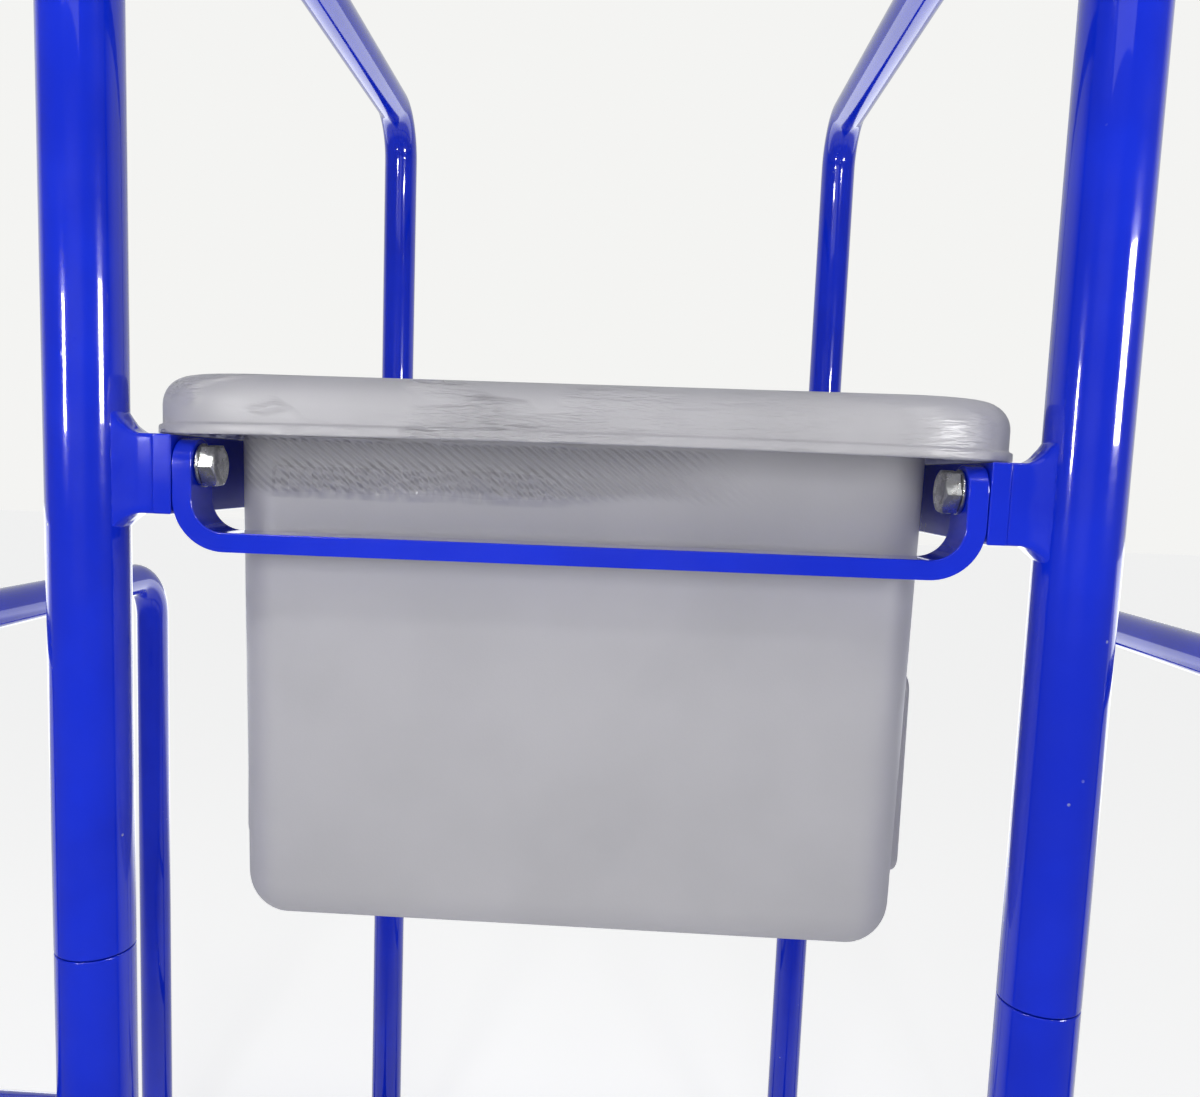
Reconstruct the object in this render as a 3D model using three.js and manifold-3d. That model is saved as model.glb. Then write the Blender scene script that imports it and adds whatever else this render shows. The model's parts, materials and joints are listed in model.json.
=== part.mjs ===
// Bin station on a knock-down frame of blue painted steel tube.
// Two front uprights carry a flat-bar ring that holds a grey plastic bin, and a
// retainer bar hangs in front of the bin on two bolts. Rails run back from the
// uprights to rear posts, and the whole upper section lifts off four spigots in
// a base that has a low hoop on each side.
// Millimetres, +Z up, the front is -Y. The origin is on the floor, in the middle of
// the feet. Pieces are placed from the front uprights' plane, and the group is then
// moved to that origin.

import * as THREE from 'three';
import { mergeVertices } from 'three/addons/utils/BufferGeometryUtils.js';
import Module from 'manifold-3d';

const wasm = await Module();
wasm.setup();

// Driving dimensions: tubes and fits
const fitGap = 0.3;
const uprightDiameter = 38.1;
const railDiameter = 34;
const braceDiameter = 31.8;
const tubeWall = 2;
const tubeBendRadius = 46;
const spigotEngagement = 60;

// Driving dimensions: the frame, between tube axes
const uprightSpacing = 470;
const frameDepth = 643;
const hoopSpacing = 1032;
const topRailHeight = 1254;
const hoopRailHeight = 745;
const jointHeight = 633;
const frontBraceHeight = 532;
const baseRailHeight = 75;
const braceStep = 2;
const uprightTopMargin = 26;

// Driving dimensions: the ring and the retainer bar
const ringTopHeight = 891.3;
const strapHeight = 38;
const strapThickness = 9;
const strapBendRadius = 30;
const strapCentre = 5;
const lugWidth = 23;
const ringClearance = 15.8;
const barWidth = 25.4;
const barThickness = 9.5;
const barBendRadius = 20;
const barDrop = 41;
const pivotDepth = 14.3;

// Driving dimensions: pivot bolts
const boltDiameter = 12;
const boltHeadFlats = 19;
const boltHeadHeight = 7.5;
const boltChamfer = 1.65;
const boltChamferDrop = 0.6;
const washerDiameter = 21;
const washerThickness = 1.6;

// Driving dimensions: the bin
const binDepth = 222;
const binHeight = 284.5;
const binWall = 3.5;
const binTaper = 3.5;
const binCornerRadius = 26;
const binBottomRadius = 25;
const binFrontGap = 2.3;
const rimOverhang = 38;
const rimHeight = 29;
const rimRound = 14;
const rimInnerRound = 5;
const rimLip = 2;
const rimLipHeight = 5;
const rimSideGap = 1;
const bearingRibWidth = 4;
const ribWidth = 24;
const ribHeight = 115;
const ribDepth = 8;
const ribSetback = 20;
const ribRise = 27;

// Driving dimensions: feet and caps
const footWall = 4;
const footFloor = 6;
const footHeight = 32;
const capThickness = 4;
const capStem = 16;

// Places that follow from the driving dimensions
const halfSpan = uprightSpacing / 2;
const hoopHalfSpan = hoopSpacing / 2;
const pivotHeight = ringTopHeight - pivotDepth;
const rimHalfWidth = halfSpan - uprightDiameter / 2 - rimSideGap - rimLip;
const binHalfWidth = rimHalfWidth - rimOverhang;
const binFront = strapCentre + barWidth / 2 + binFrontGap;
const binFloorHeight = ringTopHeight + fitGap + rimHeight - binHeight;
const ringHalfWidth = binHalfWidth + ringClearance;
const ringFront = strapCentre - barWidth / 2;
const ringBack = binFront + binDepth + ringClearance;
const legHalfWidth = ringHalfWidth - fitGap;
const lugInner = ringHalfWidth + strapThickness + fitGap;

const tubeSegments = 12;
const bendSegments = 6;

// Colours
const paint = { color: 0x1c2bc0, roughness: 0.18, metalness: 0 };
const zinc = { color: 0xc3c6c8, roughness: 0.35, metalness: 1 };
const plastic = { color: 0xa9a9b0, roughness: 0.5, metalness: 0 };
const rubber = { color: 0x1d1e20, roughness: 0.8, metalness: 0 };

const model = new THREE.Group();
model.position.y = ( footReach( uprightDiameter ) - footReach( railDiameter ) - frameDepth ) / 2;

function addPiece( name, geometry, look, position = [ 0, 0, 0 ], rotation = [ 0, 0, 0 ] ) {

	const mesh = new THREE.Mesh( geometry, new THREE.MeshStandardMaterial( look ) );
	mesh.name = name;
	mesh.position.set( ...position );
	mesh.rotation.set( ...rotation );
	model.add( mesh );

}

// Solids for joining and cutting

function solid( geometry ) {

	const bare = geometry.clone();
	bare.deleteAttribute( 'normal' );
	bare.deleteAttribute( 'uv' );
	const merged = mergeVertices( bare );
	return new wasm.Manifold( new wasm.Mesh( {
		numProp: 3,
		vertProperties: new Float32Array( merged.attributes.position.array ),
		triVerts: new Uint32Array( merged.index.array )
	} ) );

}

function surface( manifold ) {

	const mesh = manifold.getMesh();
	const geometry = new THREE.BufferGeometry();
	geometry.setAttribute( 'position', new THREE.BufferAttribute( mesh.vertProperties, 3 ) );
	geometry.setIndex( new THREE.BufferAttribute( mesh.triVerts, 1 ) );
	geometry.computeVertexNormals();
	return geometry;

}

// A solid rod centred on the origin, along the named axis.
function rod( diameter, length, axis ) {

	const geometry = new THREE.CylinderGeometry( diameter / 2, diameter / 2, length, 2 * tubeSegments );
	if ( axis === 'x' ) geometry.rotateZ( Math.PI / 2 );
	if ( axis === 'z' ) geometry.rotateX( Math.PI / 2 );
	return geometry;

}

// Tubes

function tubeSection( diameter ) {

	const section = new THREE.Shape();
	section.absarc( 0, 0, diameter / 2, 0, 2 * Math.PI, false );
	const bore = new THREE.Path();
	bore.absarc( 0, 0, diameter / 2 - tubeWall, 0, 2 * Math.PI, true );
	section.holes.push( bore );
	return section;

}

// A straight tube that stands on the origin, along +Z.
function straightTube( diameter, length ) {

	return new THREE.ExtrudeGeometry( tubeSection( diameter ), {
		depth: length,
		bevelEnabled: false,
		curveSegments: tubeSegments
	} );

}

// Points along a run of straight lines, with each inner corner replaced by an arc.
function roundedRun( corners, radius ) {

	const points = [ corners[ 0 ] ];
	for ( let i = 1; i < corners.length - 1; i ++ ) {

		const corner = corners[ i ];
		const back = corners[ i - 1 ].clone().sub( corner ).normalize();
		const ahead = corners[ i + 1 ].clone().sub( corner ).normalize();
		const centre = corner.clone().addScaledVector( back, radius ).addScaledVector( ahead, radius );
		for ( let step = 0; step <= bendSegments; step ++ ) {

			const angle = step / bendSegments * Math.PI / 2;
			points.push( centre.clone()
				.addScaledVector( ahead, - radius * Math.cos( angle ) )
				.addScaledVector( back, - radius * Math.sin( angle ) ) );

		}

	}

	points.push( corners[ corners.length - 1 ] );
	return points;

}

// A curve that visits its stations at even steps, so straight lengths need no extra rings.
class StationCurve extends THREE.Curve {

	constructor( stations ) {

		super();
		this.stations = stations;

	}

	getUtoTmapping( u ) {

		return u;

	}

	getPoint( t, target = new THREE.Vector3() ) {

		const last = this.stations.length - 1;
		const index = Math.min( Math.floor( t * last ), last - 1 );
		return target.lerpVectors( this.stations[ index ], this.stations[ index + 1 ], t * last - index );

	}

}

function bentTube( diameter, corners ) {

	const stations = roundedRun( corners, tubeBendRadius );
	return new THREE.ExtrudeGeometry( tubeSection( diameter ), {
		extrudePath: new StationCurve( stations ),
		steps: stations.length - 1,
		curveSegments: tubeSegments
	} );

}

// A straight brace along +Z from one post's axis to the next, coped to fit round both.
// The posts run along local X.
function brace( length, nearDiameter, farDiameter ) {

	const near = rod( nearDiameter + 2 * fitGap, 2 * braceDiameter, 'x' );
	const far = rod( farDiameter + 2 * fitGap, 2 * braceDiameter, 'x' ).translate( 0, 0, length );
	return surface( solid( straightTube( braceDiameter, length ) )
		.subtract( solid( near ) )
		.subtract( solid( far ) ) );

}

// Flat bar bent on edge in its own XY plane, with its width along +Z.
function bentStrap( corners, radius, thickness, width ) {

	const run = roundedRun( corners, radius );
	const side = ( sign ) => run.map( ( point, i ) => {

		const before = run[ Math.max( i - 1, 0 ) ];
		const after = run[ Math.min( i + 1, run.length - 1 ) ];
		const first = point.clone().sub( before ).normalize();
		const second = after.clone().sub( point ).normalize();
		const along = first.add( second ).normalize();
		const offset = sign * thickness / 2;
		return new THREE.Vector2( point.x - along.y * offset, point.y + along.x * offset );

	} );
	const outline = new THREE.Shape( [ ...side( 1 ), ...side( - 1 ).reverse() ] );
	return new THREE.ExtrudeGeometry( outline, { depth: width, bevelEnabled: false } );

}

// The upper section: uprights, top rails with the rear posts, caps

function addUpperFrame( side, x ) {

	const uprightTop = topRailHeight + uprightTopMargin;
	const seat = jointHeight + fitGap;
	addPiece( `upright_${side}`, straightTube( uprightDiameter, uprightTop - seat ), paint, [ x, 0, seat ] );

	const drop = topRailHeight - seat;
	const rail = bentTube( railDiameter, [
		new THREE.Vector3( 0, 0, 0 ),
		new THREE.Vector3( 0, frameDepth, 0 ),
		new THREE.Vector3( 0, frameDepth, - drop )
	] );
	const cope = rod( uprightDiameter + 2 * fitGap, 2 * uprightDiameter, 'z' );
	addPiece( `top_rail_${side}`, surface( solid( rail ).subtract( solid( cope ) ) ), paint, [ x, 0, topRailHeight ] );

	addPiece( `top_cap_${side}`, tubeCap(), paint, [ x, 0, uprightTop + fitGap ] );

}

// A domed cap with a stem that fills the tube's bore.
function tubeCap() {

	const stemRadius = uprightDiameter / 2 - tubeWall - fitGap;
	const capRadius = uprightDiameter / 2;
	const round = capThickness / 2;
	return new THREE.LatheGeometry( [
		new THREE.Vector2( 0, - capStem ),
		new THREE.Vector2( stemRadius, - capStem ),
		new THREE.Vector2( stemRadius, 0 ),
		new THREE.Vector2( capRadius, 0 ),
		new THREE.Vector2( capRadius, round ),
		new THREE.Vector2( capRadius - round, capThickness ),
		new THREE.Vector2( 0, capThickness )
	], 2 * tubeSegments ).rotateX( Math.PI / 2 );

}

// The base: lower posts with their spigots, low hoops, braces, base rails, feet

function addLowerPost( name, diameter, x, y ) {

	const foot = footFloor + fitGap;
	const seat = jointHeight - fitGap;
	addPiece( `lower_post_${name}`, straightTube( diameter, seat - foot ), paint, [ x, y, foot ] );

	const spigotDiameter = diameter - 2 * tubeWall - 2 * fitGap;
	const spigotFoot = jointHeight - spigotEngagement;
	addPiece( `spigot_${name}`, straightTube( spigotDiameter, 2 * spigotEngagement ), paint, [ x, y, spigotFoot ] );
	addFoot( name, diameter, x, y );

}

// How far a foot reaches out from its post's axis.
function footReach( diameter ) {

	return diameter / 2 + fitGap + footWall;

}

function addFoot( name, diameter, x, y ) {

	const bore = diameter / 2 + fitGap;
	const outside = footReach( diameter );
	const round = footFloor / 2;
	const foot = new THREE.LatheGeometry( [
		new THREE.Vector2( 0, 0 ),
		new THREE.Vector2( outside - round, 0 ),
		new THREE.Vector2( outside, round ),
		new THREE.Vector2( outside, footHeight ),
		new THREE.Vector2( bore, footHeight ),
		new THREE.Vector2( bore, footFloor ),
		new THREE.Vector2( 0, footFloor )
	], 2 * tubeSegments ).rotateX( Math.PI / 2 );
	addPiece( `foot_${name}`, foot, rubber, [ x, y, 0 ] );

}

function addHoop( side, x ) {

	const drop = hoopRailHeight - footFloor - fitGap;
	const hoop = bentTube( railDiameter, [
		new THREE.Vector3( 0, 0, - drop ),
		new THREE.Vector3( 0, 0, 0 ),
		new THREE.Vector3( 0, frameDepth, 0 ),
		new THREE.Vector3( 0, frameDepth, - drop )
	] );
	addPiece( `side_hoop_${side}`, hoop, paint, [ x, 0, hoopRailHeight ] );
	addFoot( `hoop_front_${side}`, railDiameter, x, 0 );
	addFoot( `hoop_rear_${side}`, railDiameter, x, frameDepth );

}

// Braces along X tie the hoops and posts side to side, and the base's side rails run
// just above them.
function addBraces() {

	const alongX = [ 0, Math.PI / 2, 0 ];
	const alongY = [ - Math.PI / 2, 0, Math.PI / 2 ];
	const reach = hoopHalfSpan - halfSpan;
	const sideHeight = baseRailHeight + braceDiameter + braceStep;
	for ( const [ side, x, start ] of [
		[ 'left', - halfSpan, - hoopHalfSpan ],
		[ 'right', halfSpan, halfSpan ]
	] ) {

		const posts = side === 'left' ? [ railDiameter, uprightDiameter ] : [ uprightDiameter, railDiameter ];
		addPiece( `front_brace_${side}`, brace( reach, ...posts ), paint, [ start, 0, frontBraceHeight ], alongX );
		const rearBrace = brace( reach, railDiameter, railDiameter );
		addPiece( `rear_brace_${side}`, rearBrace, paint, [ start, frameDepth, baseRailHeight ], alongX );
		const sideRail = brace( frameDepth, uprightDiameter, railDiameter );
		addPiece( `base_rail_${side}`, sideRail, paint, [ x, 0, sideHeight ], alongY );

	}

	const frontRail = brace( uprightSpacing, uprightDiameter, uprightDiameter );
	const rearRail = brace( uprightSpacing, railDiameter, railDiameter );
	addPiece( 'base_rail_front', frontRail, paint, [ - halfSpan, 0, baseRailHeight ], alongX );
	addPiece( 'base_rail_rear', rearRail, paint, [ - halfSpan, frameDepth, baseRailHeight ], alongX );

}

// The ring that holds the bin: one flat bar, open at the front, with a lug on each end

function ringGeometry() {

	const x = ringHalfWidth + strapThickness / 2;
	const backLine = ringBack + strapThickness / 2;
	const ring = bentStrap( [
		new THREE.Vector3( - x, ringFront, 0 ),
		new THREE.Vector3( - x, backLine, 0 ),
		new THREE.Vector3( x, backLine, 0 ),
		new THREE.Vector3( x, ringFront, 0 )
	], strapBendRadius, strapThickness, strapHeight ).translate( 0, 0, - strapHeight );
	const hole = rod( boltDiameter + 2 * fitGap, 3 * halfSpan, 'x' );
	return surface( solid( ring ).subtract( solid( hole.translate( 0, strapCentre, - pivotDepth ) ) ) );

}

// A block between the ring's end and the upright, coped round the upright and
// bored for the end of the pivot bolt, with the bolt's axis as its own X axis.
function lugGeometry( sign ) {

	const reach = halfSpan - lugInner;
	const block = new THREE.BoxGeometry( reach, lugWidth, strapHeight );
	block.translate( sign * reach / 2, 0, pivotDepth - strapHeight / 2 );
	const upright = rod( uprightDiameter + 2 * fitGap, 3 * strapHeight, 'z' );
	const bore = rod( boltDiameter + 2 * fitGap, 2 * halfSpan, 'x' );
	return surface( solid( block )
		.subtract( solid( upright.translate( sign * reach, - strapCentre, 0 ) ) )
		.subtract( solid( bore ) ) );

}

// The retainer: a flat bar bent to a U, with round ends about the pivot

function retainerGeometry() {

	const x = legHalfWidth - barThickness / 2;
	const crossBar = barThickness / 2 - barDrop;
	const shape = bentStrap( [
		new THREE.Vector3( - x, 0, 0 ),
		new THREE.Vector3( - x, crossBar, 0 ),
		new THREE.Vector3( x, crossBar, 0 ),
		new THREE.Vector3( x, 0, 0 )
	], barBendRadius, barThickness, barWidth );
	let body = solid( shape.translate( 0, 0, - barWidth / 2 ).rotateX( Math.PI / 2 ) );
	for ( const side of [ - 1, 1 ] ) {

		body = body.add( solid( rod( barWidth, barThickness, 'x' ).translate( side * x, 0, 0 ) ) );

	}

	return surface( body.subtract( solid( rod( boltDiameter + 2 * fitGap, 3 * halfSpan, 'x' ) ) ) );

}

// A hexagonal prism along +Z from the origin, with its outer corners chamfered.
function hexagon( flats, height ) {

	const corner = flats / Math.sqrt( 3 );
	const prism = new THREE.CylinderGeometry( corner, corner, height, 6 ).rotateX( Math.PI / 2 );
	const outside = corner + fitGap;
	const turned = new THREE.LatheGeometry( [
		new THREE.Vector2( 0, - height ),
		new THREE.Vector2( outside, - height ),
		new THREE.Vector2( outside, height / 2 - boltChamfer - boltChamferDrop ),
		new THREE.Vector2( flats / 2, height / 2 ),
		new THREE.Vector2( 0, height / 2 )
	], 2 * tubeSegments ).rotateX( Math.PI / 2 );
	return solid( prism ).intersect( solid( turned ) ).translate( 0, 0, height / 2 );

}

function boltGeometry( shankLength ) {

	const root = boltHeadHeight / 2;
	const shank = rod( boltDiameter, shankLength + root, 'z' ).translate( 0, 0, ( root - shankLength ) / 2 );
	return surface( hexagon( boltHeadFlats, boltHeadHeight ).add( solid( shank ) ) );

}

function washerGeometry() {

	const section = new THREE.Shape();
	section.absarc( 0, 0, washerDiameter / 2, 0, 2 * Math.PI, false );
	const bore = new THREE.Path();
	bore.absarc( 0, 0, boltDiameter / 2 + fitGap, 0, 2 * Math.PI, true );
	section.holes.push( bore );
	return new THREE.ExtrudeGeometry( section, {
		depth: washerThickness,
		bevelEnabled: false,
		curveSegments: tubeSegments
	} );

}

// Head and washer are inside the retainer's leg, and the bolt ends in the lug.
function addPivot( side, sign ) {

	const washerFace = legHalfWidth - barThickness - fitGap;
	const headFace = washerFace - washerThickness - fitGap;
	const boltEnd = halfSpan - uprightDiameter / 2 - 2 * fitGap;
	const turn = [ 0, - sign * Math.PI / 2, 0 ];
	const at = ( x ) => [ sign * x, strapCentre, pivotHeight ];
	addPiece( `pivot_bolt_${side}`, boltGeometry( boltEnd - headFace ), zinc, at( headFace ), turn );
	addPiece( `pivot_washer_${side}`, washerGeometry(), zinc, at( washerFace ), turn );

	addPiece( `ring_lug_${side}`, lugGeometry( sign ), paint, at( lugInner ) );

}

// The bin: a tub with drafted walls and a rim that turns down over the ring

// One level of the tub: its outline moved out from the body by outset, at height z.
function binLevel( outset, z ) {

	const radius = binCornerRadius + outset;
	const straightX = binHalfWidth - binCornerRadius;
	const straightY = binDepth / 2 - binCornerRadius;
	const points = [];
	for ( const [ quarter, cornerX, cornerY ] of [ [ 0, 1, 1 ], [ 1, - 1, 1 ], [ 2, - 1, - 1 ], [ 3, 1, - 1 ] ] ) {

		for ( let step = 0; step <= bendSegments; step ++ ) {

			const angle = ( quarter + step / bendSegments ) * Math.PI / 2;
			const x = cornerX * straightX + radius * Math.cos( angle );
			const y = cornerY * straightY + radius * Math.sin( angle );
			points.push( new THREE.Vector3( x, y, z ) );

		}

	}

	return points;

}

// Quarter arc of the tub's profile, as pairs of outset and height.
function profileArc( outset, z, radius, start, end ) {

	const arc = [];
	for ( let step = 0; step <= bendSegments; step ++ ) {

		const angle = start + ( end - start ) * step / bendSegments;
		arc.push( [ outset + radius * Math.cos( angle ), z + radius * Math.sin( angle ) ] );

	}

	return arc;

}

// The tub's profile from the middle of its floor inside, over the rim, to its underside.
function binProfile() {

	const right = Math.PI / 2;
	const innerRadius = binBottomRadius - binWall;
	const rimFoot = binHeight - rimHeight;
	const skirt = rimOverhang - binWall;
	const ceiling = binHeight - binWall;
	const ribInside = ringClearance + ( strapThickness - bearingRibWidth ) / 2;
	const ribOutside = ribInside + bearingRibWidth;
	return [
		...profileArc( - binTaper - binBottomRadius, binBottomRadius, innerRadius, - right, 0 ),
		...profileArc( rimInnerRound - binWall, binHeight - rimInnerRound, rimInnerRound, 2 * right, right ),
		...profileArc( rimOverhang - rimRound, binHeight - rimRound, rimRound, right, 0 ),
		[ rimOverhang, rimFoot + rimLipHeight ],
		[ rimOverhang + rimLip, rimFoot + rimLipHeight ],
		[ rimOverhang + rimLip, rimFoot ],
		[ skirt, rimFoot ],
		[ skirt, binHeight - rimRound ],
		[ skirt - rimRound + binWall, ceiling ],
		[ ribOutside, ceiling ],
		[ ribOutside, rimFoot ],
		[ ribInside, rimFoot ],
		[ ribInside, ceiling ],
		[ rimInnerRound, ceiling ],
		[ 0, ceiling - rimInnerRound ],
		...profileArc( - binTaper - binBottomRadius, binBottomRadius, binBottomRadius, 0, - right )
	];

}

// Skin from level to level, closed by a flat fan at each end.
function loft( levels ) {

	const count = levels[ 0 ].length;
	const vertices = levels.flat();
	const faces = [];
	for ( let level = 0; level < levels.length - 1; level ++ ) {

		for ( let i = 0; i < count; i ++ ) {

			const a = level * count + i;
			const b = level * count + ( i + 1 ) % count;
			faces.push( a, b + count, b, a, a + count, b + count );

		}

	}

	const last = ( levels.length - 1 ) * count;
	for ( let i = 1; i < count - 1; i ++ ) {

		faces.push( 0, i, i + 1 );
		faces.push( last, last + i + 1, last + i );

	}

	const geometry = new THREE.BufferGeometry().setFromPoints( vertices );
	geometry.setIndex( faces );
	geometry.computeVertexNormals();
	return geometry;

}

function binGeometry() {

	const levels = binProfile().map( ( [ outset, z ] ) => binLevel( outset, z ) );
	let body = solid( loft( levels ) );
	for ( const side of [ - 1, 1 ] ) {

		body = body.add( sideRib( side ) );

	}

	return surface( body );

}

// An upright rib with round ends on the side wall, near the front corner. Its root is
// deep enough to meet the drafted wall all the way down.
function sideRib( side ) {

	const radius = ribWidth / 2;
	const outline = new THREE.Shape();
	outline.absarc( 0, ribHeight - radius, radius, 0, Math.PI, false );
	outline.absarc( 0, radius, radius, Math.PI, 2 * Math.PI, false );
	const root = binTaper + binWall / 3;
	const rib = new THREE.ExtrudeGeometry( outline, {
		depth: ribDepth + root,
		bevelEnabled: false,
		curveSegments: bendSegments
	} );
	rib.rotateX( Math.PI / 2 ).rotateZ( side * Math.PI / 2 );
	const y = binCornerRadius + ribSetback + radius - binDepth / 2;
	return solid( rib.translate( side * ( binHalfWidth - root ), y, ribRise ) );

}

// Assembly

for ( const [ side, sign ] of [ [ 'left', - 1 ], [ 'right', 1 ] ] ) {

	addUpperFrame( side, sign * halfSpan );
	addLowerPost( `front_${side}`, uprightDiameter, sign * halfSpan, 0 );
	addLowerPost( `rear_${side}`, railDiameter, sign * halfSpan, frameDepth );
	addHoop( side, sign * hoopHalfSpan );
	addPivot( side, sign );

}

addBraces();
addPiece( 'bin_ring', ringGeometry(), paint, [ 0, 0, ringTopHeight ] );
addPiece( 'retainer_bar', retainerGeometry(), paint, [ 0, strapCentre, pivotHeight ] );
addPiece( 'bin', binGeometry(), plastic, [ 0, binFront + binDepth / 2, binFloorHeight ] );

export default model;
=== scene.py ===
import json
import math
import bpy
import bmesh
from mathutils import Matrix, Vector, noise

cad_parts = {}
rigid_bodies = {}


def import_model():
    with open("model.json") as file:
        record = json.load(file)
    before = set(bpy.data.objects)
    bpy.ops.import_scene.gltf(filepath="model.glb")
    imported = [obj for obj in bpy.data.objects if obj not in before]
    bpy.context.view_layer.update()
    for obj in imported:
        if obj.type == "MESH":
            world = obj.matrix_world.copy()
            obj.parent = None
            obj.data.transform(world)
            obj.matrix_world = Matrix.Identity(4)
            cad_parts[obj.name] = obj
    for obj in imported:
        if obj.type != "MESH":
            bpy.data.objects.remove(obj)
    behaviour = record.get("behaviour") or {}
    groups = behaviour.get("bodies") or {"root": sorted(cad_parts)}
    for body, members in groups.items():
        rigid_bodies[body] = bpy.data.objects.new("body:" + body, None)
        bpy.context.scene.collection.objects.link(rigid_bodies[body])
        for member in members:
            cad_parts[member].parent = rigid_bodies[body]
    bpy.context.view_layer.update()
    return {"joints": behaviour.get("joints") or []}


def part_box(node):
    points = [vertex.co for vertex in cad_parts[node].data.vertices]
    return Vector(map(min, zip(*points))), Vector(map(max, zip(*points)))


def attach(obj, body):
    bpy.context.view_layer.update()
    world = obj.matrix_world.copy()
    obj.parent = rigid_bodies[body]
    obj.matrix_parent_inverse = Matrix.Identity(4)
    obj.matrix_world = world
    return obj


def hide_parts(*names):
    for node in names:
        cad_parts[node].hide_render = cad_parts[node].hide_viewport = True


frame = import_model()
print("frame loaded")

scene = bpy.context.scene
scene.view_settings.view_transform = "Standard"
right = Vector((1, 0, 0))
back = Vector((0, 1, 0))
up = Vector((0, 0, 1))
sides = {"left": -1, "right": 1}


# Places, read from the frame

def middle(node):
    low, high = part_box(node)
    return (Vector(low) + Vector(high)) / 2


def size(node):
    low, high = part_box(node)
    return Vector(high) - Vector(low)


def jointPlace(name):
    for joint in frame["joints"]:
        if joint["name"] == name:
            return Vector(joint["pos_m"])


pivot = jointPlace("retainer_swing")
frontY = middle("upright_right").y
rearY = middle("lower_post_rear_right").y
postX = middle("upright_right").x
hoopX = middle("side_hoop_right").x
uprightRadius = size("upright_right").x / 2
railRadius = size("top_rail_right").x / 2
braceRadius = size("base_rail_front").z / 2
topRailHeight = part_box("top_rail_right")[1][2] - railRadius
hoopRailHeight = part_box("side_hoop_right")[1][2] - railRadius


# Camera

cameraSet = {
    "place": Vector((0.0259, frontY - 0.4735, pivot.z + 0.003)),
    "turn": math.radians(2.586),
    "tilt": math.radians(-6.056),
    "roll": math.radians(2.03),
    "lens": 30,
    "shift": (0.0167, 0.025),
}


def addCamera(values):
    data = bpy.data.cameras.new("camera")
    data.lens = values["lens"]
    data.sensor_width = 36
    data.shift_x, data.shift_y = values["shift"]
    data.clip_start = 0.02
    camera = bpy.data.objects.new("camera", data)
    scene.collection.objects.link(camera)
    level = Matrix.Rotation(math.pi / 2, 4, "X")
    camera.matrix_world = (
        Matrix.Translation(values["place"])
        @ Matrix.Rotation(values["turn"], 4, "Z")
        @ Matrix.Rotation(values["tilt"], 4, "X")
        @ Matrix.Rotation(-values["roll"], 4, "Y")
        @ level
    )
    scene.camera = camera


addCamera(cameraSet)


# Shader maths

class Field:
    def __init__(self, graph, socket):
        self.graph = graph
        self.socket = socket

    def combine(self, operation, first, second):
        return self.graph.add("ShaderNodeMath", {"operation": operation}, {0: first, 1: second})

    def __add__(self, other):
        return self.combine("ADD", self, other)

    def __radd__(self, other):
        return self.combine("ADD", other, self)

    def __sub__(self, other):
        return self.combine("SUBTRACT", self, other)

    def __rsub__(self, other):
        return self.combine("SUBTRACT", other, self)

    def __mul__(self, other):
        return self.combine("MULTIPLY", self, other)

    def __rmul__(self, other):
        return self.combine("MULTIPLY", other, self)


class Graph:
    def __init__(self, tree):
        self.tree = tree
        tree.nodes.clear()

    def node(self, kind, settings, values):
        made = self.tree.nodes.new(kind)
        for key, value in settings.items():
            setattr(made, key, value)
        for key, value in values.items():
            if isinstance(value, Field):
                self.tree.links.new(value.socket, made.inputs[key])
            else:
                made.inputs[key].default_value = value
        return made

    def add(self, kind, settings, values, output=0):
        return Field(self, self.node(kind, settings, values).outputs[output])

    def place(self):
        return self.add("ShaderNodeTexCoord", {}, {}, "Object")

    def stretch(self, vector, scale, turn=(0, 0, 0)):
        return self.add("ShaderNodeMapping", {}, {"Vector": vector, "Rotation": turn, "Scale": scale})

    def grain(self, vector, scale, detail=2, rough=0.5):
        values = {"Vector": vector, "Scale": scale, "Detail": detail, "Roughness": rough}
        return self.add("ShaderNodeTexNoise", {}, values, "Fac")

    def cells(self, vector, scale):
        return self.add("ShaderNodeTexVoronoi", {}, {"Vector": vector, "Scale": scale}, "Distance")

    def step(self, value, low, high, start=0.0, end=1.0):
        values = {"Value": value, "From Min": low, "From Max": high, "To Min": start, "To Max": end}
        return self.add("ShaderNodeMapRange", {"interpolation_type": "SMOOTHSTEP"}, values)

    def axes(self, vector):
        made = self.node("ShaderNodeSeparateXYZ", {}, {0: vector})
        return [Field(self, socket) for socket in made.outputs]

    def mix(self, factor, first, second):
        return self.add("ShaderNodeMix", {"data_type": "RGBA"}, {0: factor, 6: first, 7: second}, 2)

    def bump(self, height, strength, distance, under=None):
        values = {"Height": height, "Strength": strength, "Distance": distance}
        if under:
            values["Normal"] = under
        return self.add("ShaderNodeBump", {}, values)

    def finish(self, values):
        shader = self.add("ShaderNodeBsdfPrincipled", {}, values)
        self.node("ShaderNodeOutputMaterial", {}, {0: shader})


def newMaterial(name):
    material = bpy.data.materials.new(name)
    material.use_nodes = True
    return material, Graph(material.node_tree)


def mottled(graph, place, scale, dark, light):
    return graph.mix(graph.step(graph.grain(place, scale, 3), 0.35, 0.65), dark, light)


# Blue gloss paint: thick, with orange peel, faint runs, dust nibs and small pale chips that also serve as
# painted glints
bluePaint = {
    "deep": (0.002, 0.018, 0.50, 1),
    # pale colour of the chips, which partly stands in for painted glints
    "bright": (0.003, 0.022, 0.57, 1),
    "chipAndGlint": (0.35, 0.38, 0.50, 1),
    "peelSize": 260,
    "peelDepth": 0.00006,
    "runDepth": 0.0003,
    "nibSize": 110,
    "nibDepth": 0.0002,
    "chipAndGlintSize": 170,
    "roughness": 0.16,
}


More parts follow.
